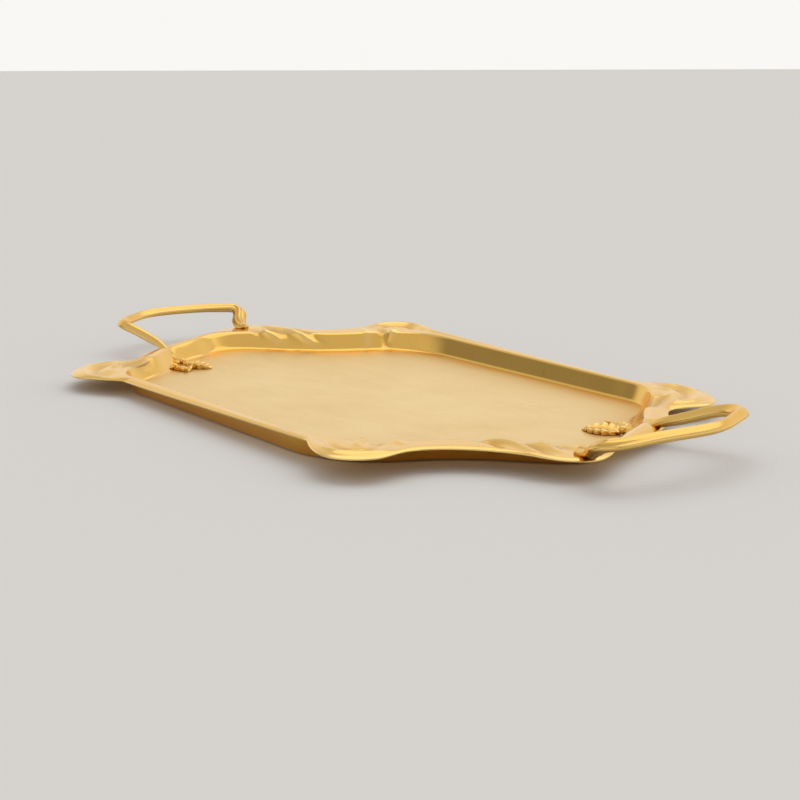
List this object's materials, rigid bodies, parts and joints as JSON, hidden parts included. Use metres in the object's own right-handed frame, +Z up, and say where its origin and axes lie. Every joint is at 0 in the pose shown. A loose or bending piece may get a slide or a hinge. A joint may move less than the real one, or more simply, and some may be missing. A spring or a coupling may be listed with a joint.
{
  "type": "serving tray",
  "caption": "Pressed brass serving tray with a scalloped flat rim, a shallow well and two cast loop handles ending in leaf sprays.",
  "frame": {"origin": "middle of the underside, on the surface the tray stands on", "axes": "+X along the tray from handle to handle, +Y across it, +Z up out of the well"},
  "size_m": [0.4966, 0.2656, 0.026],
  "materials": {
    "sheet_brass": "satin, brushed in the well",
    "cast_brass": "polished casting",
    "rivet_brass": "dull, hammered"
  },
  "bodies": {
    "root": {"tray_pan": "sheet_brass", "right_handle": "cast_brass", "left_handle": "cast_brass", "right_foot_rivet": "rivet_brass", "left_foot_rivet": "rivet_brass", "right_spray_rivet": "rivet_brass", "left_spray_rivet": "rivet_brass"}
  },
  "joints": []
}
